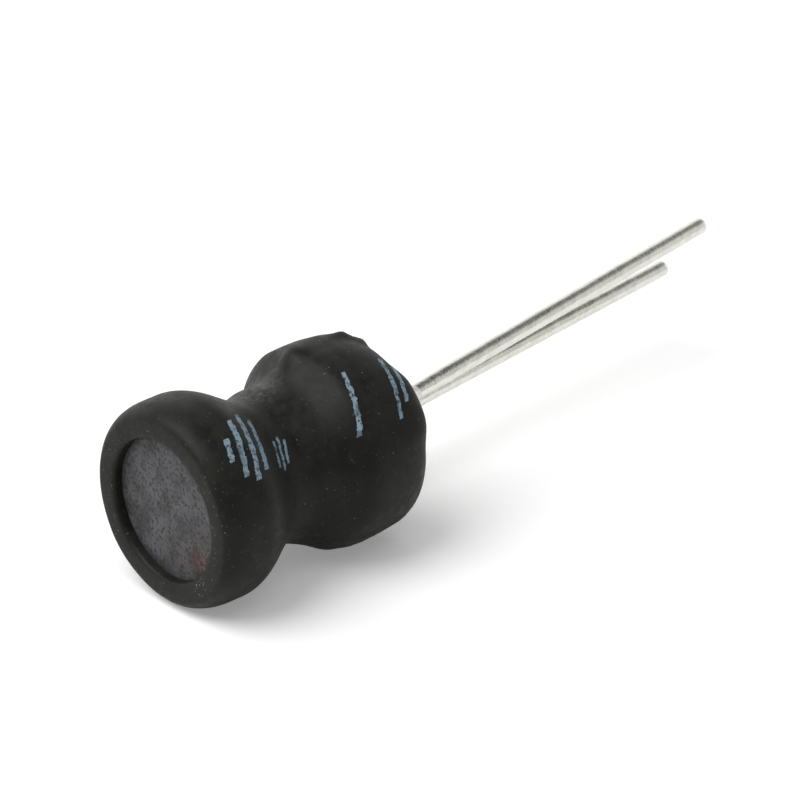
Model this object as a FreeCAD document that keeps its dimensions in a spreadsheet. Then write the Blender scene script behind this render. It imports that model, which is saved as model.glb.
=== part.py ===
"""Drum core inductor: a ferrite drum wound with wire, two leads, a heat shrink sleeve.

The drum lies on its side. Its axis runs along X, from the bare front face to the
leads. Each piece is first built in the drum's own frame, with X counted from the
front lip of the sleeve and the drum's axis on the X axis, and then placed so that
it rests on the plane Z = 0.
"""
import FreeCAD, Part
import math
import os

import Sketcher
from FreeCAD import Placement, Rotation, Vector

SIZES = {
    # ferrite drum
    "core_radius": 4.0,
    "front_flange": 1.75,
    "winding_window": 5.4,
    "rear_flange": 2.85,
    "post_radius": 1.7,
    "front_chamfer": 0.3,
    "window_chamfer": 0.15,
    "rear_chamfer": 0.6,
    # leads and the holes they stand in
    "lead_radius": 0.325,
    "pin_circle_radius": 2.5,
    "pin_angle": 45.0,
    "pin_hole_depth": 2.4,
    "adhesive_gap": 0.05,
    "lead_stub": 0.75,
    "bend_radius": 6.0,
    "bend_direction_angle": 51.4,
    "lead_1_rise_angle": 6.27,
    "lead_1_run": 19.27,
    "lead_2_rise_angle": 9.4,
    "lead_2_first_run": 3.56,
    "lead_2_settle_angle": -4.9,
    "lead_2_run": 16.24,
    "tip_chamfer": 0.12,
    # enamelled wire
    "wire_radius": 0.19,
    "winding_layers": 3.0,
    "wrap_turns": 2.0,
    "wire_1_angle": -8.0,
    "wire_2_angle": 238.0,
    "wire_bend": 0.25,
    "rim_bend": 0.5,
    # solder over the wrapped wire ends
    "solder_start": 0.45,
    "solder_length": 1.3,
    "solder_wall": 0.08,
    "solder_toe": 0.04,
    # heat shrink sleeve
    "sleeve_wall": 0.38,
    "lip_depth": 0.5,
    "front_lip": 0.98,
    "rear_lip": 0.68,
    "front_shoulder_length": 1.2,
    "front_shoulder_height": 0.6,
    "rear_shoulder_length": 2.0,
    "rear_shoulder_height": 0.8,
    "flange_roll": 2.0,
    "lip_chamfer": 0.15,
    "ridge_wall": 0.26,
    "ridge_radius": 1.3,
    "bulge_radius": 1.0,
    "bulge_height": 0.25,
    "rest_flat": 0.07,
    # room left between pieces that are put together
    "fit_clearance": 0.02,
}

doc = FreeCAD.newDocument("drum_core_inductor")
sheet = doc.addObject("Spreadsheet::Sheet", "Sizes")
for row, (name, value) in enumerate(SIZES.items(), start=1):
    sheet.set("A%d" % row, name)
    sheet.set("B%d" % row, str(value))
    sheet.setAlias("B%d" % row, name)
doc.recompute()


def size(name):
    """A driving size, as the sheet holds it."""
    return float(sheet.get(name))


def cells(text):
    """An expression in which each size's bare name becomes its cell."""
    return " ".join("Sizes." + word if word in SIZES else word for word in text.split())


def worked_out(text):
    """The value of such an expression, from the sheet."""
    total = sheet.evalExpression(cells(text))
    return float(getattr(total, "Value", total))


# Places along the drum's axis, as expressions of the driving sizes.
FRONT_FACE = "lip_depth"
WINDOW_START = "lip_depth + front_flange"
WINDOW_END = "lip_depth + front_flange + winding_window"
REAR_FACE = "lip_depth + front_flange + winding_window + rear_flange"
WAIST_X = "lip_depth + front_flange + winding_window / 2"
SLEEVE_INSIDE = "core_radius + fit_clearance"
SLEEVE_OUTSIDE = "core_radius + fit_clearance + sleeve_wall"
LAYER_STEP = "wire_radius * 3 ^ 0.5"
WINDING_OUTSIDE = "post_radius + fit_clearance + 2 * wire_radius + ( winding_layers - 1 ) * " + LAYER_STEP
WAIST_OUTSIDE = WINDING_OUTSIDE + " + fit_clearance + sleeve_wall"

# The sleeve hangs between the flanges on a roll over each flange's edge and one
# hollow round the winding. Each roll's centre, the hollow's centre and the point
# where the two arcs meet lie on one line, which leans by the roll's turn. The arcs
# are built as short chords.
ROLL_START = WINDOW_START + " - window_chamfer"
ROLL_END = WINDOW_END + " + window_chamfer"
ROLL_CENTRE_R = SLEEVE_OUTSIDE + " - flange_roll"
HALF_SPAN = "( winding_window / 2 + window_chamfer )"
SAG = "( core_radius - ( " + WINDING_OUTSIDE + " ) )"
CENTRES_APART = "( ( " + HALF_SPAN + " ^ 2 + " + SAG + " ^ 2 ) / ( 2 * " + SAG + " ) )"
HOLLOW_CENTRE_R = WAIST_OUTSIDE + " + " + CENTRES_APART + " - flange_roll"
ROLL_TURN = "asin( " + HALF_SPAN + " / " + CENTRES_APART + " )"
SLEEVE_END = REAR_FACE + " + lip_depth"
FRONT_OPENING = "( core_radius - front_lip )"
REAR_OPENING = "( core_radius - rear_lip )"

# The wire end lies on the flange with its middle this far out, and its wraps
# stand round the lead with their middle this far out.
WIRE_LIFT = "wire_radius + fit_clearance"
WRAP_RADIUS = "lead_radius + " + WIRE_LIFT
WRAP_START = "2 * fit_clearance"
WRAP_TOP = WRAP_START + " + wrap_turns * 2 * wire_radius"
WRAP_CREST = WRAP_RADIUS + " + wire_radius + fit_clearance / 2"
SOLDER_OUTSIDE = WRAP_CREST + " + solder_wall"


def origin_plane(body, role):
    """The plane of a body's own origin that has this role."""
    return next(part for part in body.Origin.OriginFeatures if part.Role == role)


def new_body(name):
    """An empty body."""
    return doc.addObject("PartDesign::Body", name)


def new_sketch(body, name, role, offset=None):
    """A sketch on one of the body's origin planes, or at an offset along its normal."""
    sketch = body.newObject("Sketcher::SketchObject", name)
    sketch.AttachmentSupport = [(origin_plane(body, role), "")]
    sketch.MapMode = "FlatFace"
    if offset is not None:
        sketch.setExpression("AttachmentOffset.Base.z", cells(offset))
    doc.recompute()
    return sketch


def bind(sketch, constraint, text):
    """Adds a dimension to a sketch and ties it to an expression of the sizes."""
    index = sketch.addConstraint(constraint)
    sketch.setExpression("Constraints[%d]" % index, cells(text))


def hold(sketch, edge, end, direction, text):
    """Holds one end of an edge at a distance from the sketch's origin."""
    value = worked_out(text)
    if abs(value) < 1e-9:
        axis = -2 if direction == "X" else -1
        sketch.addConstraint(Sketcher.Constraint("PointOnObject", edge, end, axis))
    else:
        bind(sketch, Sketcher.Constraint("Distance" + direction, -1, 1, edge, end, value), text)


def add_line(sketch, first, last):
    """A straight edge between two points of a sketch, and its two ends."""
    edge = sketch.addGeometry(Part.LineSegment(Vector(*first, 0), Vector(*last, 0)))
    return edge, 1, 2


def add_arc(sketch, centre, first, last, clockwise):
    """An arc between two points of a sketch, and its two ends in the order drawn."""
    radius = math.dist(centre, first)
    start = math.atan2(first[1] - centre[1], first[0] - centre[0])
    stop = math.atan2(last[1] - centre[1], last[0] - centre[0])
    circle = Part.Circle(Vector(*centre, 0), Vector(0, 0, 1), radius)
    if clockwise:
        return sketch.addGeometry(Part.ArcOfCircle(circle, stop, start)), 2, 1
    return sketch.addGeometry(Part.ArcOfCircle(circle, start, stop)), 1, 2


def draw_outline(sketch, corners):
    """Draws a closed outline of straight lines through corners given as expressions."""
    places = [tuple(worked_out(text) for text in corner) for corner in corners]
    edges = []
    for corner, place, next_place in zip(corners, places, places[1:] + places[:1]):
        edge, begin, end = add_line(sketch, place, next_place)
        for direction, text in zip("XY", corner):
            hold(sketch, edge, begin, direction, text)
        if edges:
            sketch.addConstraint(Sketcher.Constraint("Coincident", *edges[-1], edge, begin))
        edges.append((edge, end))
    first_edge = edges[0][0]
    sketch.addConstraint(Sketcher.Constraint("Coincident", *edges[-1], first_edge, 1))


def revolve_outline(body, name, corners):
    """Turns a closed outline, drawn over the X axis, about that axis."""
    sketch = new_sketch(body, name + "_outline", "XZ_Plane")
    draw_outline(sketch, corners)
    turned = body.newObject("PartDesign::Revolution", name)
    turned.Profile = sketch
    turned.ReferenceAxis = (sketch, ["H_Axis"])
    turned.Angle = 360
    doc.recompute()
    return turned


def radial(angle, radius=1.0):
    """The point this far from the drum's axis, at an angle from the top towards -Y."""
    turn = math.radians(angle)
    return Vector(0, -radius * math.sin(turn), radius * math.cos(turn))


def drum_place(x=0.0, turn=0.0, offset=None):
    """A placement in the drum's frame, moved along its axis and turned about it."""
    at = Vector(x, 0, 0) + (offset if offset is not None else Vector())
    return rest_frame.multiply(Placement(at, Rotation(Vector(1, 0, 0), turn)))


def pin_angles():
    """The angles at which the two leads stand, opposite each other."""
    return size("pin_angle"), size("pin_angle") + 180


def lead_tip(number):
    """How far a lead reaches past the rear face, up to its cut end."""
    rise = math.radians(size("lead_%d_rise_angle" % number))
    bend = size("bend_radius")
    reach = size("lead_stub") + bend * math.sin(rise)
    slope = rise
    if number == 2:
        slope = rise + math.radians(size("lead_2_settle_angle"))
        reach += size("lead_2_first_run") * math.cos(rise) + bend * (math.sin(rise) - math.sin(slope))
    reach += size("lead_%d_run" % number) * math.cos(slope)
    return reach + (size("lead_radius") - size("tip_chamfer")) * math.sin(slope)


def make_core():
    """The ferrite drum: two flanges and the post, with a blind hole for each lead."""
    body = new_body("ferrite_core")
    revolve_outline(body, "drum", [
        (FRONT_FACE, "core_radius - front_chamfer"),
        (FRONT_FACE + " + front_chamfer", "core_radius"),
        (ROLL_START, "core_radius"),
        (WINDOW_START, "core_radius - window_chamfer"),
        (WINDOW_START, "post_radius"),
        (WINDOW_END, "post_radius"),
        (WINDOW_END, "core_radius - window_chamfer"),
        (ROLL_END, "core_radius"),
        (REAR_FACE + " - rear_chamfer", "core_radius"),
        (REAR_FACE, "core_radius - rear_chamfer"),
        (REAR_FACE, "0"),
        (FRONT_FACE, "0"),
    ])
    sketch = new_sketch(body, "pin_hole_outline", "YZ_Plane", REAR_FACE)
    centre = Vector(0, size("pin_circle_radius"), 0)
    hole_radius = worked_out("lead_radius + adhesive_gap")
    hole = sketch.addGeometry(Part.Circle(centre, Vector(0, 0, 1), hole_radius))
    hold(sketch, hole, 3, "X", "0")
    hold(sketch, hole, 3, "Y", "pin_circle_radius")
    bind(sketch, Sketcher.Constraint("Radius", hole, hole_radius), "lead_radius + adhesive_gap")
    pocket = body.newObject("PartDesign::Pocket", "pin_hole")
    pocket.Profile = sketch
    pocket.setExpression("Length", cells("pin_hole_depth"))
    doc.recompute()
    pair = body.newObject("PartDesign::PolarPattern", "pin_holes")
    pair.Originals = [pocket]
    pair.Axis = (origin_plane(body, "X_Axis"), [""])
    pair.Angle = 360
    pair.Occurrences = 2
    body.Tip = pair
    body.Placement = drum_place(turn=size("pin_angle"))
    doc.recompute()
    return body


def make_lead(number, angle):
    """A tinned wire lead: straight in its hole, then bent aside up to its cut end."""
    body = new_body("lead_%d" % number)
    rise = math.radians(size("lead_%d_rise_angle" % number))
    bend = size("bend_radius")
    stub = size("lead_stub")

    path = new_sketch(body, "lead_%d_path" % number, "XY_Plane")
    root, _, root_end = add_line(path, (-size("pin_hole_depth"), 0), (stub, 0))
    path.addConstraint(Sketcher.Constraint("PointOnObject", root, 1, -1))
    path.addConstraint(Sketcher.Constraint("Horizontal", root))
    bind(path, Sketcher.Constraint("DistanceX", root, 1, -1, 1, size("pin_hole_depth")), "pin_hole_depth")
    bind(path, Sketcher.Constraint("DistanceX", -1, 1, root, root_end, stub), "lead_stub")

    def add_bend(previous, point, slope, next_slope, clockwise):
        """An arc that carries on from the last straight run to the next slope."""
        side = -1 if clockwise else 1
        centre = (point[0] - side * bend * math.sin(slope), point[1] + side * bend * math.cos(slope))
        end = (centre[0] + side * bend * math.sin(next_slope), centre[1] - side * bend * math.cos(next_slope))
        arc, begin, finish = add_arc(path, centre, point, end, clockwise)
        path.addConstraint(Sketcher.Constraint("Tangent", *previous, arc, begin))
        bind(path, Sketcher.Constraint("Radius", arc, bend), "bend_radius")
        return (arc, finish), end

    def add_run(previous, point, slope, length_cell, slope_text):
        """A straight run that carries on from a bend."""
        length = size(length_cell)
        end = (point[0] + length * math.cos(slope), point[1] + length * math.sin(slope))
        run, begin, finish = add_line(path, point, end)
        path.addConstraint(Sketcher.Constraint("Tangent", *previous, run, begin))
        bind(path, Sketcher.Constraint("Distance", run, length), length_cell)
        bind(path, Sketcher.Constraint("Angle", run, slope), slope_text)
        return (run, finish), end

    last, point = add_bend((root, root_end), (stub, 0), 0.0, rise, False)
    if number == 2:
        settled = rise + math.radians(size("lead_2_settle_angle"))
        last, point = add_run(last, point, rise, "lead_2_first_run", "lead_2_rise_angle")
        last, point = add_bend(last, point, rise, settled, True)
        last, point = add_run(last, point, settled, "lead_2_run", "lead_2_rise_angle + lead_2_settle_angle")
    else:
        last, point = add_run(last, point, rise, "lead_1_run", "lead_1_rise_angle")

    section = new_sketch(body, "lead_%d_section" % number, "YZ_Plane", "-1 * pin_hole_depth")
    circle = section.addGeometry(Part.Circle(Vector(), Vector(0, 0, 1), size("lead_radius")))
    section.addConstraint(Sketcher.Constraint("Coincident", circle, 3, -1, 1))
    bind(section, Sketcher.Constraint("Radius", circle, size("lead_radius")), "lead_radius")

    wire = body.newObject("PartDesign::AdditivePipe", "lead_%d_wire" % number)
    wire.Profile = section
    wire.Spine = (path, ["Edge%d" % (index + 1) for index in range(path.GeometryCount)])
    doc.recompute()
    far_edge = max(range(len(wire.Shape.Edges)), key=lambda index: wire.Shape.Edges[index].BoundBox.XMin)
    tip = body.newObject("PartDesign::Chamfer", "lead_%d_cut_end" % number)
    tip.Base = (wire, ["Edge%d" % (far_edge + 1)])
    tip.setExpression("Size", cells("tip_chamfer"))
    body.Tip = tip
    body.Placement = drum_place(worked_out(REAR_FACE), size("bend_direction_angle"),
                                radial(angle, size("pin_circle_radius")))
    doc.recompute()
    return body


def make_adhesive(number, angle):
    """The cured adhesive between a lead and its hole: a thin tube with a closed end."""
    outside = doc.addObject("Part::Cylinder", "hole_fill_%d" % number)
    outside.setExpression("Radius", cells("lead_radius + adhesive_gap"))
    outside.setExpression("Height", cells("pin_hole_depth"))
    inside = doc.addObject("Part::Cylinder", "lead_root_%d" % number)
    inside.setExpression("Radius", cells("lead_radius"))
    inside.setExpression("Height", cells("pin_hole_depth"))
    start = worked_out(REAR_FACE + " - pin_hole_depth")
    along_axis = Placement(Vector(), Rotation(Vector(0, 1, 0), 90))
    for cylinder in (outside, inside):
        at = drum_place(start, 0, radial(angle, size("pin_circle_radius")))
        cylinder.Placement = at.multiply(along_axis)
    tube = doc.addObject("Part::Cut", "pin_adhesive_%d" % number)
    tube.Base = outside
    tube.Tool = inside
    doc.recompute()
    return tube


def wire_corners(wire_angle, pin_angle):
    """The corners of a wire end's route, from the coil to its lead.

    It climbs the rear flange's inner face, crosses the rim, and runs over the rear
    face to a tangent of the wraps round the lead.
    """
    climb_x = worked_out(WINDOW_END + " - wire_radius - 2 * fit_clearance")
    face_x = worked_out(REAR_FACE + " + " + WIRE_LIFT)
    rim_radius = worked_out("core_radius + " + WIRE_LIFT)
    start_radius = worked_out(WINDING_OUTSIDE + " - wire_radius")
    wrap_radius = worked_out(WRAP_RADIUS)

    corner = Vector(face_x, 0, 0) + radial(wire_angle, rim_radius)
    pin = Vector(face_x, 0, 0) + radial(pin_angle, size("pin_circle_radius"))
    away = corner - pin
    along = Vector(1, 0, 0)
    side = math.degrees(math.acos(wrap_radius / away.Length))
    for turn in (side, -side):
        outward = Rotation(along, turn).multVec(away).normalize()
        touch = pin + outward * wrap_radius
        if (touch - corner).dot(along.cross(outward)) > 0:
            break
    return [
        Vector(climb_x, 0, 0) + radial(wire_angle, start_radius),
        Vector(climb_x, 0, 0) + radial(wire_angle, rim_radius),
        corner,
        touch,
    ]


def wire_along(corners, radius):
    """A round wire along straight runs. A short slanting run cuts each corner."""
    points = [corners[0]]
    cuts = size("wire_bend"), size("rim_bend")
    for before, corner, after, cut in zip(corners, corners[1:], corners[2:], cuts):
        points.append(corner + (before - corner).normalize() * cut)
        points.append(corner + (after - corner).normalize() * cut)
    points.append(corners[-1])
    section = Part.Wire(Part.makeCircle(radius, points[0], points[1] - points[0]))
    right_corners = 1
    return Part.makePolygon(points).makePipeShell([section], True, False, right_corners)


def wound_ring(start, end, inside, outside):
    """Turns of wire that lie side by side round the X axis, as one ring."""
    outer = Part.makeCylinder(outside, end - start, Vector(start, 0, 0), Vector(1, 0, 0))
    hole = Part.makeCylinder(inside, end - start, Vector(start, 0, 0), Vector(1, 0, 0))
    return outer.cut(hole)


def make_winding():
    """The enamelled wire: its layers on the post and both ends, one solid."""
    coil = wound_ring(worked_out(WINDOW_START + " + fit_clearance"),
                      worked_out(WINDOW_END + " - fit_clearance"),
                      worked_out("post_radius + fit_clearance"), worked_out(WINDING_OUTSIDE))
    pieces = []
    for wire_angle, pin_angle in zip((size("wire_1_angle"), size("wire_2_angle")), pin_angles()):
        pin = radial(pin_angle, size("pin_circle_radius"))
        pieces.append(wire_along(wire_corners(wire_angle, pin_angle), size("wire_radius")))
        wraps = wound_ring(worked_out(WRAP_START), worked_out(WRAP_TOP),
                           worked_out("lead_radius + fit_clearance / 2"), worked_out(WRAP_CREST))
        wraps.Placement = Placement(Vector(worked_out(REAR_FACE), pin.y, pin.z), Rotation())
        pieces.append(wraps)
    winding = doc.addObject("Part::Feature", "winding")
    winding.Shape = coil.multiFuse(pieces).removeSplitter()
    winding.Placement = rest_frame
    return winding


def make_solder(number, angle, lead, winding):
    """The solder over a wrapped wire end, drawn out to a thin toe along the lead."""
    body = new_body("solder_drop_%d" % number)
    toe_x = "solder_start + solder_length"
    toe_r = "( lead_radius + solder_toe )"
    outside = "( " + SOLDER_OUTSIDE + " )"
    middle_x = "( " + WRAP_TOP + " + ( " + toe_x + " - ( " + WRAP_TOP + " ) ) / 3 )"
    middle_r = toe_r + " + ( " + outside + " - " + toe_r + " ) / 3"
    revolve_outline(body, "solder_%d" % number, [
        ("solder_start", outside + " - solder_wall"),
        ("solder_start + solder_wall", outside),
        (WRAP_TOP, outside),
        (middle_x, middle_r),
        (toe_x, toe_r),
        (toe_x, "0"),
        ("solder_start", "0"),
    ])
    body.Placement = drum_place(worked_out(REAR_FACE), 0, radial(angle, size("pin_circle_radius")))
    doc.recompute()
    filled = doc.addObject("Part::MultiFuse", "soldered_%d" % number)
    filled.Shapes = [winding, lead]
    joint = doc.addObject("Part::Cut", "solder_joint_%d" % number)
    joint.Base = body
    joint.Tool = filled
    doc.recompute()
    return joint


def along_arc(centre, width, height, first, last, chords):
    """The chord ends on an arc, after its first one, at even steps of its angle.

    The angles are counted from straight out towards the leads. A width that
    isn't the height makes it an ellipse's arc.
    """
    points = []
    for step in range(1, chords + 1):
        share = step / chords
        angle = "( %s + %s * ( %s - ( %s ) ) )" % (first, share, last, first)
        points.append((centre[0] + " + " + width + " * sin( " + angle + " )",
                       centre[1] + " + " + height + " * cos( " + angle + " )"))
    return points


def make_sleeve_skin():
    """The sleeve's outer form, filled: rounded shoulders, rolls and the waist."""
    body = new_body("sleeve_skin")
    front = ("front_shoulder_length", SLEEVE_OUTSIDE + " - front_shoulder_height")
    rear = (SLEEVE_END + " - rear_shoulder_length", SLEEVE_OUTSIDE + " - rear_shoulder_height")
    hollow = "( flange_roll - " + CENTRES_APART + " )"
    back_turn = "-1 * " + ROLL_TURN
    outline = [("0", front[1])]
    outline += along_arc(front, "front_shoulder_length", "front_shoulder_height", "-90 deg", "0 deg", 3)
    outline.append((ROLL_START, SLEEVE_OUTSIDE))
    outline += along_arc((ROLL_START, ROLL_CENTRE_R), "flange_roll", "flange_roll", "0 deg", ROLL_TURN, 3)
    outline += along_arc((WAIST_X, HOLLOW_CENTRE_R), hollow, hollow, ROLL_TURN, back_turn, 5)
    outline += along_arc((ROLL_END, ROLL_CENTRE_R), "flange_roll", "flange_roll", back_turn, "0 deg", 3)
    outline.append((rear[0], SLEEVE_OUTSIDE))
    outline += along_arc(rear, "rear_shoulder_length", "rear_shoulder_height", "0 deg", "90 deg", 4)
    revolve_outline(body, "skin", outline + [(SLEEVE_END, "0"), ("0", "0")])
    body.Placement = drum_place()
    return body


def make_sleeve_room():
    """The room inside the sleeve: the drum with its clearance, and both openings."""
    body = new_body("sleeve_room")
    roll = "( flange_roll - sleeve_wall )"
    back_turn = "-1 * " + ROLL_TURN
    front_meet, = along_arc((ROLL_START, ROLL_CENTRE_R), roll, roll, "0 deg", ROLL_TURN, 1)
    rear_meet, = along_arc((ROLL_END, ROLL_CENTRE_R), roll, roll, "0 deg", back_turn, 1)
    coil_r = WAIST_OUTSIDE + " - sleeve_wall"
    lean = "( " + front_meet[1] + " - ( " + coil_r + " ) ) / tan( " + ROLL_TURN + " )"
    mouth_end = SLEEVE_END + " + 2 * lip_depth"
    revolve_outline(body, "room", [
        ("0", FRONT_OPENING + " + lip_chamfer"),
        ("lip_chamfer", FRONT_OPENING),
        (FRONT_FACE + " - fit_clearance", FRONT_OPENING),
        (FRONT_FACE + " - fit_clearance", "core_radius - front_chamfer"),
        (FRONT_FACE + " + front_chamfer", SLEEVE_INSIDE),
        (ROLL_START, SLEEVE_INSIDE),
        front_meet,
        (front_meet[0] + " + " + lean, coil_r),
        (rear_meet[0] + " - " + lean, coil_r),
        rear_meet,
        (ROLL_END, SLEEVE_INSIDE),
        (REAR_FACE + " - rear_chamfer", SLEEVE_INSIDE),
        (REAR_FACE + " + fit_clearance", "core_radius - rear_chamfer"),
        (REAR_FACE + " + fit_clearance", REAR_OPENING),
        (mouth_end, REAR_OPENING),
        (mouth_end, "0"),
        ("0", "0"),
    ])
    body.Placement = drum_place()
    return body


def make_ridge(number, wire_angle, pin_angle):
    """The sleeve where it is stretched over a wire end: a rounded ridge over the rim."""
    route = wire_corners(wire_angle, pin_angle)
    radius = size("ridge_radius")
    sunk = radius - worked_out("wire_radius + ridge_wall")
    centre_radius = worked_out("core_radius + " + WIRE_LIFT) - sunk
    face_x = route[-1].x - sunk
    centres = [
        Vector(worked_out(WINDOW_END), 0, 0) + radial(wire_angle, centre_radius),
        Vector(face_x, 0, 0) + radial(wire_angle, centre_radius),
        Vector(face_x, route[-1].y, route[-1].z),
    ]
    pieces = [Part.makeSphere(radius, centre) for centre in centres[:2]]
    for first, last in zip(centres, centres[1:]):
        pieces.append(Part.makeCylinder(radius, (last - first).Length, first, last - first))
    ridge = doc.addObject("Part::Feature", "wire_ridge_%d" % number)
    ridge.Shape = pieces[0].multiFuse(pieces[1:])
    ridge.Placement = rest_frame
    return ridge


def make_channel(number, wire_angle, pin_angle):
    """The room that a wire end takes under the sleeve."""
    route = wire_corners(wire_angle, pin_angle)
    channel = doc.addObject("Part::Feature", "wire_channel_%d" % number)
    channel.Shape = wire_along(route, worked_out("wire_radius + fit_clearance"))
    channel.Placement = rest_frame
    return channel


def make_lip_bulge(number, angle):
    """The rear lip where it is pushed out by the soldered wraps of a lead."""
    bulge = doc.addObject("Part::Sphere", "lip_bulge_%d" % number)
    bulge.setExpression("Radius", cells("bulge_radius"))
    lip_corner = worked_out(SLEEVE_OUTSIDE + " - rear_shoulder_height")
    sunk = worked_out("( bulge_radius - bulge_height ) * 0.5 ^ 0.5")
    bulge.Placement = drum_place(worked_out(SLEEVE_END) - sunk, 0, radial(angle, lip_corner - sunk))
    return bulge


def make_pin_room(number, angle):
    """The room round a lead's soldered wraps."""
    room = doc.addObject("Part::Cylinder", "pin_room_%d" % number)
    room.setExpression("Radius", cells(SOLDER_OUTSIDE + " + fit_clearance"))
    room.setExpression("Height", cells("3 * lip_depth"))
    start = worked_out(REAR_FACE + " + fit_clearance")
    at = drum_place(start, 0, radial(angle, size("pin_circle_radius")))
    room.Placement = at.multiply(Placement(Vector(), Rotation(Vector(0, 1, 0), 90)))
    return room


def make_floor_cut():
    """What is taken off the sleeve's underside, so that it lies on two small flats."""
    cut = doc.addObject("Part::Box", "rest_cut")
    cut.setExpression("Length", cells(SLEEVE_END))
    cut.setExpression("Width", cells("2 * core_radius"))
    cut.setExpression("Height", cells("sleeve_wall"))
    below = Vector(0, -size("core_radius"), -worked_out(SLEEVE_OUTSIDE + " - rest_flat + sleeve_wall"))
    cut.Placement = drum_place(0, 0, below)
    return cut


def make_sleeve():
    """The heat shrink sleeve: one skin over the drum, the winding and the wire ends."""
    outside = [make_sleeve_skin()]
    inside = [make_sleeve_room(), make_floor_cut()]
    wire_angles = size("wire_1_angle"), size("wire_2_angle")
    for number, (wire_angle, pin_angle) in enumerate(zip(wire_angles, pin_angles()), start=1):
        outside.append(make_ridge(number, wire_angle, pin_angle))
        outside.append(make_lip_bulge(number, pin_angle))
        inside.append(make_channel(number, wire_angle, pin_angle))
        inside.append(make_pin_room(number, pin_angle))
    filled = doc.addObject("Part::MultiFuse", "sleeve_filled")
    filled.Shapes = outside
    sleeve = filled
    for tool in inside:
        name = "shrink_sleeve" if tool is inside[-1] else "sleeve_less_" + tool.Name
        hollowed = doc.addObject("Part::Cut", name)
        hollowed.Base = sleeve
        hollowed.Tool = tool
        sleeve = hollowed
    doc.recompute()
    return sleeve


# The origin lies under the middle of the whole length, on the plane it rests on.
whole_length = worked_out(REAR_FACE) + max(lead_tip(1), lead_tip(2))
rest_height = worked_out(SLEEVE_OUTSIDE + " - rest_flat")
rest_frame = Placement(Vector(-whole_length / 2, 0, rest_height), Rotation())

pieces = [make_core()]
leads = [make_lead(number, angle) for number, angle in enumerate(pin_angles(), start=1)]
winding = make_winding()
pieces += leads + [winding]
for number, (angle, lead) in enumerate(zip(pin_angles(), leads), start=1):
    pieces.append(make_adhesive(number, angle))
    pieces.append(make_solder(number, angle, lead, winding))
pieces.append(make_sleeve())
doc.recompute()

for item in doc.Objects:
    if "Invalid" in item.State or "Error" in item.State:
        raise RuntimeError("%s: %s" % (item.Name, item.State))
for piece in pieces:
    if piece.Shape.isNull() or not piece.Shape.isValid() or len(piece.Shape.Solids) != 1:
        raise RuntimeError("%s isn't one valid solid" % piece.Label)

os.makedirs("parts", exist_ok=True)
for piece in pieces:
    piece.Shape.exportStep("parts/%s.step" % piece.Label)
    print("%-16s %9.3f mm3" % (piece.Label, piece.Shape.Volume))
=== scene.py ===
import math

import bmesh
import bpy
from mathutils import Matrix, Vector


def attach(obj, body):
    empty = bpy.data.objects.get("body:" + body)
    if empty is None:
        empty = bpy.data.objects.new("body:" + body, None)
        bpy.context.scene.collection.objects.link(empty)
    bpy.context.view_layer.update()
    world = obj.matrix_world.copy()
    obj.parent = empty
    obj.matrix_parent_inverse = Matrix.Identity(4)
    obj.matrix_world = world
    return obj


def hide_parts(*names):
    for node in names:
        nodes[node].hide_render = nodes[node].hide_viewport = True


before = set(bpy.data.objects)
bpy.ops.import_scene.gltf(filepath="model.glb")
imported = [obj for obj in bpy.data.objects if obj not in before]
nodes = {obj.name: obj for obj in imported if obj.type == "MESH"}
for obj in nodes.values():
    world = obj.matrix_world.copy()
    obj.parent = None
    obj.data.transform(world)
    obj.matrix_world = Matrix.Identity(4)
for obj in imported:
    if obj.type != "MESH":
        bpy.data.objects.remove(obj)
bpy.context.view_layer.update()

# Heat shrink sleeve: one length of black polyolefin tube, drawn down hot over the wound
# drum. It hollows over the winding, stands in a ridge where a wire end crosses the rear
# rim, and both its ends have rolled in over the rims of the drum.
mm = 0.001
front_x = -16.228 * mm
axis_z = 4.33 * mm
backward = Vector((mm, 0, 0))
steps_round = 176
sleeve_crown = 4.385
sleeve_waist = 3.16
waist_x = 4.98
waist_half_length = 3.05
hollow_x = 6.85
hollow_half_length = 1.35
hollow_depth = 0.64
hollow_leans_to = 110
front_lip_centre = (1.28, 3.80)
front_lip_width = 1.25
rear_lip_centre = (9.0, 3.60)
rear_lip_width = 2.0
unevenness_length = 2.6
unevenness_height = 0.06
flat_z = 0.002 * mm


def outward(angle):
    """One mm straight out from the drum's axis, in degrees from the top towards -Y."""
    turn = math.radians(angle)
    return Vector((0, -math.sin(turn), math.cos(turn))) * mm


def drum_point(x, angle, radius):
    """A place on the drum: mm from the front lip, degrees from the top towards -Y, mm out."""
    return Vector((front_x + x * mm, 0, axis_z)) + outward(angle) * radius


def deselect_all():
    """Leaves nothing selected, so that an operator acts on the new piece alone."""
    if bpy.context.object and bpy.context.object.mode != "OBJECT":
        bpy.ops.object.mode_set(mode="OBJECT")
    bpy.ops.object.select_all(action="DESELECT")


def start_ring(steps, radius, centre):
    """A circle across the drum's axis, in edit mode with all of it selected."""
    deselect_all()
    bpy.ops.mesh.primitive_circle_add(vertices=steps, radius=radius * mm, location=centre,
                                      rotation=(0, math.radians(90), 0))
    piece = bpy.context.object
    bpy.ops.object.transform_apply(location=True, rotation=True, scale=True)
    bpy.ops.object.mode_set(mode="EDIT")
    bpy.ops.mesh.select_all(action="SELECT")
    return piece


def extrude_ring(step, centre, grow):
    """Extrudes the selected ring by a step, and scales the new one about its centre."""
    bpy.ops.mesh.extrude_region_move(TRANSFORM_OT_translate={"value": step})
    bpy.ops.transform.resize(value=(1, grow, grow), center_override=centre)


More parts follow.
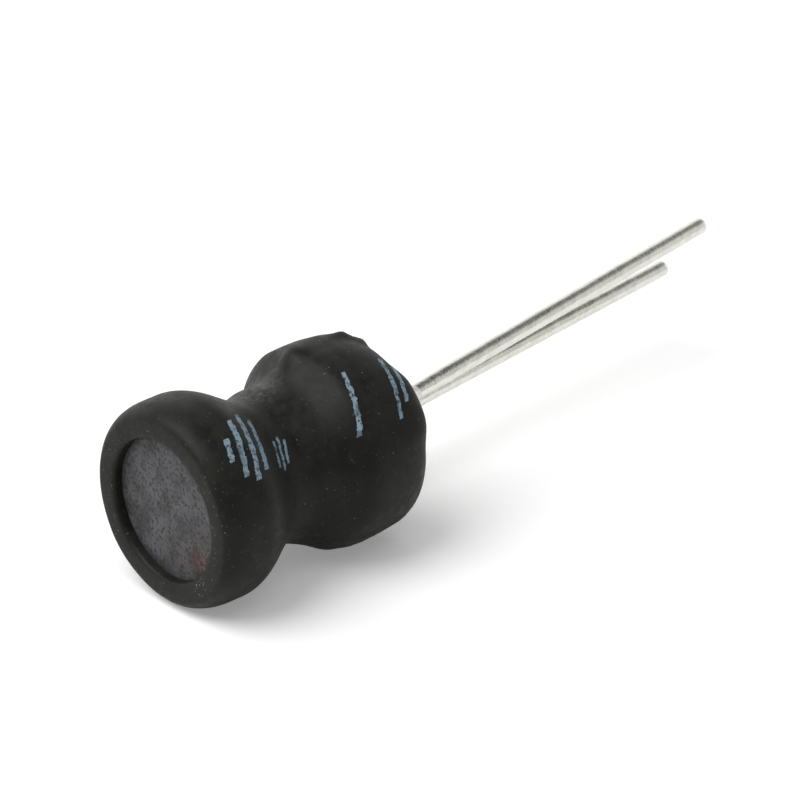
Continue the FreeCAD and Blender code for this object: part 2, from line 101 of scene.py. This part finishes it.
def turn_profile(profile):
    """A ring of skin turned about the drum's axis, through corners in mm: x, the radius, and
    how far the ring leans away from the upper far side."""
    leaning = outward(hollow_leans_to)
    piece = start_ring(steps_round, profile[0][1], drum_point(profile[0][0], 0, 0))
    for (x, radius, lean), (next_x, next_radius, next_lean) in zip(profile, profile[1:]):
        step = backward * (next_x - x) + leaning * (next_lean - lean)
        centre = drum_point(next_x, 0, 0) + leaning * next_lean
        extrude_ring(step, centre, next_radius / radius)
    return piece


def close_ring(bridged):
    """Bridges a skin's first edge to its last, or fills both of them with a flat face."""
    bpy.ops.mesh.select_all(action="DESELECT")
    bpy.ops.mesh.select_non_manifold(extend=False, use_boundary=True, use_wire=False,
                                     use_multi_face=False, use_non_contiguous=False,
                                     use_verts=False)
    if bridged:
        bpy.ops.mesh.bridge_edge_loops()
    else:
        bpy.ops.mesh.edge_face_add()
    bpy.ops.mesh.select_all(action="SELECT")
    bpy.ops.mesh.normals_make_consistent(inside=False)


def pick(piece, wanted):
    """Selects the vertices of a piece in edit mode for which a test holds."""
    mesh = bmesh.from_edit_mesh(piece.data)
    bpy.ops.mesh.select_all(action="DESELECT")
    for vertex in mesh.verts:
        vertex.select = wanted(vertex)
    mesh.select_flush_mode()
    bmesh.update_edit_mesh(piece.data)


def pick_within(piece, place, reach):
    """Selects the vertices of a piece that lie within a reach in mm of a place."""
    pick(piece, lambda vertex: (vertex.co - place).length < reach * mm)


def push(piece, places, move, reach):
    """Pushes the skin at some places by a vector, fading out over a reach in mm."""
    mesh = bmesh.from_edit_mesh(piece.data)
    nearest = []
    for place in places:
        nearest.append(min(mesh.verts, key=lambda vertex: (vertex.co - place).length))
    pick(piece, lambda vertex: vertex in nearest)
    bpy.ops.transform.translate(value=move, use_proportional_edit=True,
                                use_proportional_connected=True, proportional_size=reach * mm,
                                proportional_edit_falloff="SMOOTH")


def relax(piece, place, reach, times):
    """Evens out the skin within a reach in mm of a place."""
    pick_within(piece, place, reach)
    bpy.ops.mesh.vertices_smooth(factor=0.5, repeat=times)


def make_uneven(piece, name, length, height):
    """Moves a piece's skin in and out by clouds of a length and a whole height in mm."""
    bpy.ops.object.mode_set(mode="OBJECT")
    clouds = bpy.data.textures.new(name, "CLOUDS")
    clouds.noise_scale = length * mm
    uneven = piece.modifiers.new(name, "DISPLACE")
    uneven.texture = clouds
    uneven.texture_coords = "LOCAL"
    uneven.mid_level = 0.5
    uneven.strength = height * mm
    bpy.ops.object.modifier_apply(modifier=uneven.name)


def finish_piece(piece, name, material, stands_for):
    """Names a modelled piece, gives it its material and puts it in its solid's place."""
    deselect_all()
    bpy.context.view_layer.objects.active = piece
    piece.select_set(True)
    piece.name = name
    piece.data.name = name
    piece.data.materials.clear()
    piece.data.materials.append(material)
    bpy.ops.object.shade_smooth_by_angle(angle=math.radians(50))
    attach(piece, "root")
    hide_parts(stands_for)


def arc(centre, width, height, first, last, count):
    """Points on an ellipse's arc, its angles in degrees from straight out to the leads."""
    points = []
    for step in range(count + 1):
        turn = math.radians(first + (last - first) * step / count)
        points.append((centre[0] + width * math.sin(turn), centre[1] + height * math.cos(turn)))
    return points


def waist(count):
    """Points over the winding, where the skin sags in one wave between the flanges. On the
    upper far side it lies on the winding further back, and climbs more steeply."""
    middle = (sleeve_crown + sleeve_waist) / 2
    depth = (sleeve_crown - sleeve_waist) / 2
    points = []
    for step in range(count + 1):
        share = 2 * step / count - 1
        x = waist_x + waist_half_length * share
        nearness = max(0.0, 1 - abs(x - hollow_x) / hollow_half_length)
        hollow = hollow_depth * math.sin(math.pi / 2 * nearness) ** 2
        points.append((x, middle - depth * math.cos(math.pi * share) - hollow / 2, hollow / 2))
    return points


def upright(points):
    """The same points for rings that don't lean."""
    return [(x, radius, 0.0) for x, radius in points]


front_lip = arc(front_lip_centre, front_lip_width, sleeve_crown - front_lip_centre[1], -90, 0, 12)
rear_lip = arc(rear_lip_centre, rear_lip_width, sleeve_crown - rear_lip_centre[1], 0, 90, 14)
outer_skin = upright([(0.03, 3.22)]) + upright(front_lip) + waist(44)
outer_skin += upright([(8.55, sleeve_crown)]) + upright(rear_lip)
rear_mouth = upright([(11.0, 3.46), (10.93, 3.36), (10.80, 3.33), (10.54, 3.34)])
inner_skin = upright([(10.53, 3.40), (9.90, 4.02), (7.80, 4.02), (6.90, 3.40), (6.10, 2.78),
                      (3.92, 2.78), (3.28, 3.48), (2.10, 4.02), (0.80, 4.02), (0.49, 3.70)])
front_mouth = upright([(0.48, 3.03), (0.22, 3.02), (0.09, 3.05), (0.045, 3.11)])
sleeve = turn_profile(outer_skin + rear_mouth + inner_skin + front_mouth)
close_ring(bridged=True)

# What stands out under the skin, by the near lead and by the far one: the wire climbs the
# flange, runs over it as a ridge and bends down over its rim, and solder pushes out the lip.
for wire_angle, bend_angle, lead_angle in ((-8, -2, 50), (238, 233, 230)):
    climb_foot = drum_point(7.30, wire_angle, 3.9)
    climb_top = drum_point(7.40, wire_angle, 4.1)
    ridge = [drum_point(x, wire_angle - 4, 4.39) for x in (8.2, 8.7, 9.2, 9.7)]
    rim = drum_point(10.1, wire_angle, 4.25)
    bend = drum_point(10.48, wire_angle, 4.25)
    wire_end = drum_point(10.75, bend_angle, 3.97)
    push(sleeve, [climb_foot], outward(wire_angle) * 0.22, 1.6)
    push(sleeve, [climb_top], outward(wire_angle) * 0.30, 0.8)
    push(sleeve, ridge, outward(wire_angle) * 0.12, 1.1)
    push(sleeve, [rim], outward(wire_angle) * 0.13, 0.6)
    push(sleeve, [bend], outward(wire_angle) * 0.30, 0.5)
    push(sleeve, [wire_end], outward(bend_angle) * 0.15 + backward * 0.135, 0.7)
    for solder_angle in (lead_angle - 8, lead_angle + 14):
        lip = drum_point(10.6, solder_angle, 3.97)
        push(sleeve, [lip], outward(solder_angle) * 0.17 + backward * 0.204, 1.5)
    relax(sleeve, drum_point(7.4, wire_angle, 4.2), 1.1, 5)
    relax(sleeve, drum_point(10.4, wire_angle, 4.3), 0.8, 2)

# The rear flange's near underside is a little flatter, and the skin is flat where it rests.
underside = [drum_point(x, angle, 4.39) for x in (8.0, 8.8, 9.5) for angle in (125, 140, 152)]
push(sleeve, underside, outward(140) * -0.10, 1.2)
make_uneven(sleeve, "sleeve_unevenness", unevenness_length, unevenness_height)
bpy.ops.object.mode_set(mode="EDIT")
pick(sleeve, lambda vertex: vertex.co.z < flat_z)
bpy.ops.transform.resize(value=(1, 1, 0), center_override=(0, 0, flat_z))


def put(tree, kind, sockets=None, **options):
    """Adds a node with its options, and fills its sockets with values or links."""
    node = tree.nodes.new(kind)
    for option, value in options.items():
        setattr(node, option, value)
    for socket, value in (sockets or {}).items():
        if isinstance(value, bpy.types.NodeSocket):
            tree.links.new(value, node.inputs[socket])
        else:
            node.inputs[socket].default_value = value
    return node


def millimetres(tree):
    """Object coordinates in mm, with x from the front lip and z from the drum's axis."""
    place = put(tree, "ShaderNodeTexCoord").outputs["Object"]
    return put(tree, "ShaderNodeMapping", {
        "Vector": place, "Scale": (1 / mm,) * 3,
        "Location": (-front_x / mm, 0, -axis_z / mm)}).outputs["Vector"]


def new_material(name, roughness, metallic=0.0):
    """A material with its Principled shader, its node tree and coordinates in mm."""
    material = bpy.data.materials.new(name)
    material.use_nodes = True
    tree = material.node_tree
    shader = tree.nodes["Principled BSDF"]
    shader.inputs["Roughness"].default_value = roughness
    shader.inputs["Metallic"].default_value = metallic
    return material, tree, shader, millimetres(tree)


def noise(tree, place, scale, detail=3.0, roughness=0.5):
    """The grey value of a noise of this many waves per mm."""
    return put(tree, "ShaderNodeTexNoise", {"Vector": place, "Scale": scale, "Detail": detail,
                                            "Roughness": roughness}).outputs["Fac"]


def step_between(tree, value, low, high, bottom=0.0, top=1.0):
    """A soft step from bottom to top as the value goes from low to high."""
    return put(tree, "ShaderNodeMapRange", {"Value": value, "From Min": low, "From Max": high,
                                            "To Min": bottom, "To Max": top},
               interpolation_type="SMOOTHSTEP", clamp=True).outputs["Result"]


def maths(tree, operation, *values):
    """The result of one sum on two or three values or sockets."""
    return put(tree, "ShaderNodeMath", dict(enumerate(values)), operation=operation).outputs[0]


def vector_maths(tree, operation, *values):
    """The value that comes from one sum on vectors, such as their distance."""
    sockets = dict(enumerate(values))
    return put(tree, "ShaderNodeVectorMath", sockets, operation=operation).outputs["Value"]


def axes_of(tree, vector):
    """The X, Y and Z of a vector."""
    return put(tree, "ShaderNodeSeparateXYZ", {"Vector": vector}).outputs


def mix_colours(tree, mask, below, above):
    """One colour over another by a mask."""
    return put(tree, "ShaderNodeMix", {"Factor": mask, "A": below, "B": above},
               data_type="RGBA").outputs["Result"]


def bump(tree, height, strength, distance, sockets=None):
    """The normal of a skin with a map of its height, and the map's distance in mm."""
    relief = {"Height": height, "Strength": strength, "Distance": distance * mm}
    return put(tree, "ShaderNodeBump", {**relief, **(sockets or {})}).outputs["Normal"]


def near(tree, place, x, angle, radius, reach):
    """A mask that fades out over a reach in mm round a place on the drum."""
    turn = math.radians(angle)
    centre = (x, -radius * math.sin(turn), radius * math.cos(turn))
    return step_between(tree, vector_maths(tree, "DISTANCE", place, centre), reach, reach * 0.3)


def new_group(name, sockets):
    """A node group that gives a mask, and what is given to it."""
    group = bpy.data.node_groups.new(name, "ShaderNodeTree")
    for socket, kind in sockets.items():
        group.interface.new_socket(socket, in_out="INPUT", socket_type=kind)
    group.interface.new_socket("Mask", in_out="OUTPUT", socket_type="NodeSocketFloat")
    return group, put(group, "NodeGroupInput").outputs


specks, given = new_group("specks", {"Vector": "NodeSocketVector", "Scale": "NodeSocketFloat",
                                     "Size": "NodeSocketFloat", "Share": "NodeSocketFloat"})
cells = put(specks, "ShaderNodeTexVoronoi", {"Vector": given["Vector"], "Scale": given["Scale"]})
cell_chance = put(specks, "ShaderNodeSeparateColor", {"Color": cells.outputs["Color"]})
in_speck = step_between(specks, cells.outputs["Distance"], given["Size"], 0.0)
has_speck = maths(specks, "LESS_THAN", cell_chance.outputs["Red"], given["Share"])
put(specks, "NodeGroupOutput", {"Mask": maths(specks, "MULTIPLY", in_speck, has_speck)})

bars, given = new_group("worn_bars", dict.fromkeys((
    "Along", "Around", "Middle Along", "Half Along", "Middle Around", "Half Around",
    "Pitch", "Width"), "NodeSocketFloat"))
pitches = maths(bars, "DIVIDE", given["Along"], given["Pitch"])
bar_number = maths(bars, "FLOOR", pitches)
bar_chance = put(bars, "ShaderNodeTexWhiteNoise", {"W": bar_number}, noise_dimensions="1D")
bar_length = maths(bars, "MULTIPLY", given["Half Around"],
                   step_between(bars, bar_chance.outputs["Value"], -0.6, 1.0))
on_bar = maths(bars, "LESS_THAN", maths(bars, "FRACT", pitches), given["Width"])
bar_along = maths(bars, "MULTIPLY", bar_number, given["Pitch"])
in_field = maths(bars, "COMPARE", bar_along, given["Middle Along"], given["Half Along"])
in_length = maths(bars, "COMPARE", given["Around"], given["Middle Around"], bar_length)
put(bars, "NodeGroupOutput", {
    "Mask": maths(bars, "MULTIPLY", on_bar, maths(bars, "MULTIPLY", in_field, in_length))})


def speckle(tree, place, scale, size, share):
    """A mask of scattered specks: cells per mm, their size in cells, the share that has one."""
    return put(tree, "ShaderNodeGroup", {"Vector": place, "Scale": scale, "Size": size,
                                         "Share": share}, node_tree=specks).outputs["Mask"]


def printed_bars(tree, along, around, middle, half, pitch, width):
    """A mask of short printed bars across the tube. Their field's middle and half size are
    in mm along it and degrees around it, the pitch is in mm, the width a share of it."""
    return put(tree, "ShaderNodeGroup", {
        "Along": along, "Around": around, "Middle Along": middle[0], "Half Along": half[0],
        "Middle Around": middle[1], "Half Around": half[1], "Pitch": pitch,
        "Width": width}, node_tree=bars).outputs["Mask"]


tube_black = (0.0060, 0.0061, 0.0052, 1)
tube_grey = (0.0112, 0.0113, 0.0088, 1)
rubbed_grey = (0.026, 0.025, 0.019, 1)
dust_and_top_sheen_grey = (0.0185, 0.0187, 0.0155, 1)
dust_haze_and_sheen_grey = (0.085, 0.085, 0.078, 1)
nick_grey = (0.22, 0.21, 0.17, 1)
pale_ink = (0.24, 0.34, 0.42, 1)
dust_grey = (0.30, 0.29, 0.26, 1)
black, tree, shader, place = new_material("matte_black_tube", 0.5)
shader.inputs["Specular IOR Level"].default_value = 0.19
cloud = noise(tree, place, 0.55, 4.0, 0.6)
mottle = noise(tree, place, 2.6, 5.0, 0.65)
grain = noise(tree, place, 16.0, 3.0, 0.6)
colour = mix_colours(tree, step_between(tree, cloud, 0.35, 0.68), tube_black, tube_grey)
rubbed = step_between(tree, mottle, 0.54, 0.74, 0.0, 0.55)
colour = mix_colours(tree, rubbed, colour, rubbed_grey)

# Lighter on what faces up: settled dust, and also a painted sheen of the light from above.
# A paler haze on the near side of the winding is dust and also a painted sheen, and dust fills the
# lip's nicks.
upward = axes_of(tree, put(tree, "ShaderNodeNewGeometry").outputs["Normal"])["Z"]
settled_dust_and_sheen = maths(tree, "MULTIPLY", step_between(tree, upward, 0.15, 0.95, 0.0, 0.85),
                step_between(tree, noise(tree, place, 1.3, 6.0, 0.7), 0.30, 0.62))
colour = mix_colours(tree, settled_dust_and_sheen, colour, dust_and_top_sheen_grey)
# Painted sheen on the near side of the winding, mixed with a haze of dust.
dust_haze_and_sheen = maths(tree, "MULTIPLY", near(tree, place, 5.6, -18, 3.3, 1.9),
             step_between(tree, noise(tree, place, 5.0, 6.0, 0.75), 0.40, 0.62))
colour = mix_colours(tree, maths(tree, "MULTIPLY", dust_haze_and_sheen, 0.75), colour, dust_haze_and_sheen_grey)
nicks = maths(tree, "MULTIPLY", near(tree, place, 0.05, 137, 3.2, 0.8),
              step_between(tree, noise(tree, place, 10.0, 4.0, 0.6), 0.61, 0.66))
colour = mix_colours(tree, nicks, colour, nick_grey)

# The print on the tube: plain pale bars, rubbed thin by handling.
axes = axes_of(tree, place)
wander = maths(tree, "MULTIPLY", noise(tree, place, 3.0, 5.0, 0.7), 0.35)
along = maths(tree, "ADD", axes["X"], wander)
turned = maths(tree, "ARCTAN2", maths(tree, "MULTIPLY", axes["Y"], -1.0), axes["Z"])
around = maths(tree, "MULTIPLY", turned, 180 / math.pi)
slanted = maths(tree, "MULTIPLY_ADD", around, 0.022, along)
ink = printed_bars(tree, slanted, around, (3.00, 40.0), (0.95, 20.0), 0.56, 0.46)
for middle, half, pitch, width in (((5.35, 50.0), (0.62, 12.0), 0.36, 0.46),
                                   ((8.95, 41.0), (0.40, 19.0), 0.52, 0.42),
                                   ((11.15, 40.0), (0.45, 20.0), 0.44, 0.46)):
    more_ink = printed_bars(tree, slanted, around, middle, half, pitch, width)
    ink = maths(tree, "MAXIMUM", ink, more_ink)
left_on = maths(tree, "MULTIPLY", step_between(tree, noise(tree, place, 5.5, 5.0, 0.7), 0.34, 0.50),
                step_between(tree, noise(tree, place, 1.7, 2.0, 0.5), 0.34, 0.50, 0.45, 1.0))
ink = maths(tree, "MULTIPLY", maths(tree, "MULTIPLY", ink, left_on), 0.9)
colour = mix_colours(tree, ink, colour, pale_ink)
fine_dust = maths(tree, "MULTIPLY", speckle(tree, place, 6.5, 0.24, 0.24), 0.6)
dust = maths(tree, "MAXIMUM", speckle(tree, place, 2.9, 0.15, 0.30), fine_dust)
colour = mix_colours(tree, maths(tree, "MULTIPLY", dust, 0.45), colour, dust_grey)
tree.links.new(colour, shader.inputs["Base Color"])
tree.links.new(step_between(tree, mottle, 0.3, 0.7, 0.40, 0.56), shader.inputs["Roughness"])
skin_height = maths(tree, "MULTIPLY_ADD", mottle, 0.7, maths(tree, "MULTIPLY", grain, 0.3))
tree.links.new(bump(tree, skin_height, 0.55, 0.018), shader.inputs["Normal"])
finish_piece(sleeve, "sleeve_skin", black, "shrink_sleeve")

# Ferrite drum: pressed manganese zinc powder, sintered hard and ground flat on its front
# face, so it is dark grey, full of open pores, and rust stained at the edge of the opening.
ferrite_dark = (0.040, 0.038, 0.040, 1)
ferrite_pale = (0.084, 0.081, 0.087, 1)
pore_black = (0.013, 0.012, 0.014, 1)
rust_red = (0.052, 0.012, 0.005, 1)


def dress(names, material):
    """Gives a material to nodes that are seen as their solids are."""
    for name in names:
        nodes[name].data.materials.clear()
        nodes[name].data.materials.append(material)


ferrite, tree, shader, place = new_material("sintered_ferrite", 0.62)
patches = step_between(tree, noise(tree, place, 1.1, 4.0, 0.6), 0.35, 0.65)
colour = mix_colours(tree, patches, ferrite_dark, ferrite_pale)
pores = step_between(tree, noise(tree, place, 6.5, 5.0, 0.7), 0.53, 0.60)
open_pores = maths(tree, "MAXIMUM", pores, speckle(tree, place, 5.5, 0.42, 0.36))
colour = mix_colours(tree, maths(tree, "MULTIPLY", open_pores, 0.85), colour, pore_black)
rust = maths(tree, "MULTIPLY", near(tree, place, 0.5, 132, 2.6, 1.0),
             step_between(tree, noise(tree, place, 3.6, 6.0, 0.7), 0.44, 0.54))
stain = maths(tree, "MULTIPLY", near(tree, place, 0.5, 140, 2.5, 2.4),
              step_between(tree, noise(tree, place, 2.2, 6.0, 0.75), 0.52, 0.66, 0.0, 0.5))
colour = mix_colours(tree, maths(tree, "MAXIMUM", rust, stain), colour, rust_red)
tree.links.new(colour, shader.inputs["Base Color"])
pitted = bump(tree, maths(tree, "MULTIPLY", open_pores, -1.0), 0.6, 0.03)
tree.links.new(pitted, shader.inputs["Normal"])
dress(["ferrite_core"], ferrite)

# Leads: drawn copper wire, 0.65 mm thick and hot tinned, set in the rear flange and cut off
# with a slightly rounded end. The tinning is bright, and lumpiest near the solder.
rear_face = 10.5
lead_radius = 0.325
lead_sides = 32
in_hole = 1.2
straight_start = 0.75
bend_radius = 6.0
step_length = 0.22
pin_circle = 2.5
lead_leans = math.radians(51.4)
tinning_build_up = 0.10
build_up_start = 1.8
build_up_length = 2.0
end_rounding = 0.10
end_reach = 0.38
lump_length = 0.45
lump_height = 0.03
tin_grey = (0.84, 0.83, 0.76, 1)
tin_bright = (0.93, 0.925, 0.86, 1)


def lead_route(runs):
    """Points of a lead in mm from its hole: (length, slope) runs joined by gentle bends."""
    points = [(-in_hole, 0.0), (straight_start, 0.0)]
    along, aside, slope = straight_start, 0.0, 0.0
    for length, degrees in runs:
        target = math.radians(degrees)
        bends = max(2, round(abs(target - slope) * bend_radius / step_length))
        for step in range(bends):
            middle = slope + (target - slope) * (step + 0.5) / bends
            chord = bend_radius * abs(target - slope) / bends
            along += chord * math.cos(middle)
            aside += chord * math.sin(middle)
            points.append((along, aside))
        slope = target
        pieces = round(length / step_length)
        for step in range(pieces):
            along += length / pieces * math.cos(slope)
            aside += length / pieces * math.sin(slope)
            points.append((along, aside))
    return points


def swell(point):
    """The lead's thickness beside that in the hole: the tinning builds up past the solder."""
    past = (point.x - front_x) / mm - rear_face - build_up_start
    return 1 + tinning_build_up * min(1.0, max(0.0, past / build_up_length))


def make_wire(angle, runs):
    """A lead as one extruded wire, its tinning in low lumps and its cut end rounded."""
    sideways = Vector((0, math.cos(lead_leans), math.sin(lead_leans))) * mm
    route = [drum_point(rear_face + along, angle, pin_circle) + sideways * aside
             for along, aside in lead_route(runs)]
    wire = start_ring(lead_sides, lead_radius, route[0])
    for here, there in zip(route, route[1:]):
        extrude_ring(there - here, there, swell(there) / swell(here))
    close_ring(bridged=False)
    pick_within(wire, route[-1], end_reach)
    bpy.ops.mesh.bevel(offset=end_rounding * mm, segments=4, affect="EDGES")
    make_uneven(wire, "tinning_lumps", lump_length, lump_height)
    return wire


tinned, tree, shader, place = new_material("hot_tinning", 0.24, 1.0)
lumps = noise(tree, place, 2.2, 5.0, 0.6)
glint = noise(tree, place, 9.0, 4.0, 0.7)
colour = mix_colours(tree, step_between(tree, lumps, 0.35, 0.65), tin_grey, tin_bright)
tree.links.new(colour, shader.inputs["Base Color"])
tree.links.new(step_between(tree, glint, 0.35, 0.65, 0.22, 0.36), shader.inputs["Roughness"])
lumpiness = step_between(tree, axes_of(tree, place)["X"], 11.0, 19.0, 1.0, 0.25)
beads = maths(tree, "MULTIPLY", lumps, lumpiness)
fine_bump = bump(tree, glint, 0.15, 0.010)
tree.links.new(bump(tree, beads, 0.9, 0.05, {"Normal": fine_bump}), shader.inputs["Normal"])
lead_1 = make_wire(45, [(19.27, 6.27)])
finish_piece(lead_1, "lead_1_wire", tinned, "lead_1")
lead_2 = make_wire(225, [(3.56, 9.4), (16.24, 4.5)])
finish_piece(lead_2, "lead_2_wire", tinned, "lead_2")

# Solder joints: tin solder, run over each wrapped wire end by dipping. A joint stands on the
# rear face as a cone that thins to a toe, and is duller than the tinning of its lead.
solder_grey = (0.60, 0.59, 0.56, 1)
solder_bright = (0.78, 0.77, 0.74, 1)
solder, tree, shader, place = new_material("satin_solder", 0.34, 1.0)
ripples = noise(tree, place, 3.0, 4.0, 0.6)
colour = mix_colours(tree, step_between(tree, ripples, 0.35, 0.65), solder_grey, solder_bright)
tree.links.new(colour, shader.inputs["Base Color"])
tree.links.new(bump(tree, ripples, 0.6, 0.05), shader.inputs["Normal"])
dress(["solder_joint_1", "solder_joint_2"], solder)

# Winding: copper wire in clear red brown enamel, wound in three layers on the post. Only
# its two ends show, where they cross the rear face to the leads.
enamel_dark = (0.30, 0.075, 0.020, 1)
enamel_bright = (0.45, 0.13, 0.035, 1)
enamel, tree, shader, place = new_material("enamelled_copper", 0.3, 0.7)
thickness = step_between(tree, noise(tree, place, 2.0), 0.4, 0.6)
colour = mix_colours(tree, thickness, enamel_dark, enamel_bright)
tree.links.new(colour, shader.inputs["Base Color"])
dress(["winding"], enamel)

# Adhesive: a thin collar of clear brown epoxy that fixes each lead in its hole. It is put on
# as a liquid and cured there, and the solder joints hide it.
resin_dark = (0.16, 0.09, 0.03, 1)
resin_pale = (0.24, 0.15, 0.05, 1)
resin, tree, shader, place = new_material("cured_resin", 0.35)
depth = step_between(tree, noise(tree, place, 4.0), 0.4, 0.6)
tree.links.new(mix_colours(tree, depth, resin_dark, resin_pale), shader.inputs["Base Color"])
dress(["pin_adhesive_1", "pin_adhesive_2"], resin)

# Camera: a long lens from the front left and above, as the photograph was taken. It stands
# about 0.14 m away and looks down by about 26 degrees.
camera_data = bpy.data.cameras.new("camera")
camera_data.lens = 147.35
camera_data.sensor_width = 36
camera_data.clip_start = 0.01
camera_data.clip_end = 5
camera = bpy.data.objects.new("camera", camera_data)
bpy.context.scene.collection.objects.link(camera)
camera.location = Vector((-87.108, -90.49, 66.07)) * mm
camera.rotation_euler = Vector((0.609, 0.657, -0.444)).to_track_quat("-Z", "Y").to_euler()
bpy.context.scene.camera = camera

# Floor: a sheet of white paper that takes the part's soft shadow. For the camera, and more
# weakly in mirrors, it glows: dim near the part, so that the shadow stays, white further off.
deselect_all()
bpy.ops.mesh.primitive_plane_add(size=3.0, location=(0, 0, 0))
floor = bpy.context.object
floor.name = "floor"
paper = bpy.data.materials.new("white_paper")
paper.use_nodes = True
tree = paper.node_tree
shader = tree.nodes["Principled BSDF"]
shader.inputs["Base Color"].default_value = (0.90, 0.90, 0.90, 1)
shader.inputs["Roughness"].default_value = 0.9
shader.inputs["Specular IOR Level"].default_value = 0.0
shader.inputs["Emission Color"].default_value = (1, 1, 1, 1)
rays = put(tree, "ShaderNodeLightPath").outputs
in_mirrors = maths(tree, "MULTIPLY", rays["Is Glossy Ray"], 0.25)
seen = maths(tree, "MAXIMUM", rays["Is Camera Ray"], in_mirrors)
from_part = vector_maths(tree, "LENGTH", put(tree, "ShaderNodeTexCoord").outputs["Object"])
glow = step_between(tree, from_part, 0.03, 0.20, 0.235, 1.0)
tree.links.new(maths(tree, "MULTIPLY", seen, glow), shader.inputs["Emission Strength"])
floor.data.materials.append(paper)

# Light: a white room, and two soft round lamps. In mirrors the room is bright round the
# horizon, and dim overhead and behind the camera. Its soft light is strongest from the left.
camera_side = (-0.45, -0.89, 0.0)
window_side = (-0.83, 0.25, 0.50)
world = bpy.data.worlds.new("white_room")
world.use_nodes = True
bpy.context.scene.world = world
tree = world.node_tree
direction = put(tree, "ShaderNodeTexCoord").outputs["Generated"]
overhead = step_between(tree, axes_of(tree, direction)["Z"], 0.40, 0.85, 1.0, 0.06)
toward_camera = vector_maths(tree, "DOT_PRODUCT", direction, camera_side)
behind_camera = step_between(tree, toward_camera, -0.2, 0.8, 1.0, 0.22)
mirrored_room = maths(tree, "MULTIPLY", overhead, behind_camera)
toward_window = vector_maths(tree, "DOT_PRODUCT", direction, window_side)
soft_light = step_between(tree, toward_window, -0.7, 0.9, 0.10, 0.50)
rays = put(tree, "ShaderNodeLightPath").outputs
strength = put(tree, "ShaderNodeMix", {"Factor": rays["Is Glossy Ray"], "A": soft_light,
                                       "B": mirrored_room}, data_type="FLOAT").outputs["Result"]
strength = put(tree, "ShaderNodeMix", {"Factor": rays["Is Camera Ray"], "A": strength,
                                       "B": 1.0}, data_type="FLOAT").outputs["Result"]
background = tree.nodes["Background"]
background.inputs["Color"].default_value = (1, 1, 1, 1)
tree.links.new(strength, background.inputs["Strength"])


def add_lamp(name, place, width, power):
    """A round soft lamp that faces the part: metres and watts."""
    lamp_data = bpy.data.lights.new(name, "AREA")
    lamp_data.shape = "DISK"
    lamp_data.size = width
    lamp_data.energy = power
    lamp = bpy.data.objects.new(name, lamp_data)
    bpy.context.scene.collection.objects.link(lamp)
    lamp.location = place
    lamp.rotation_euler = (-lamp.location).to_track_quat("-Z", "Y").to_euler()


add_lamp("lamp_over_camera", (-0.085, -0.195, 0.339), 0.16, 0.11)
add_lamp("lamp_from_left", (-0.205, 0.050, 0.345), 0.34, 1.25)

bpy.context.scene.view_settings.view_transform = "Standard"
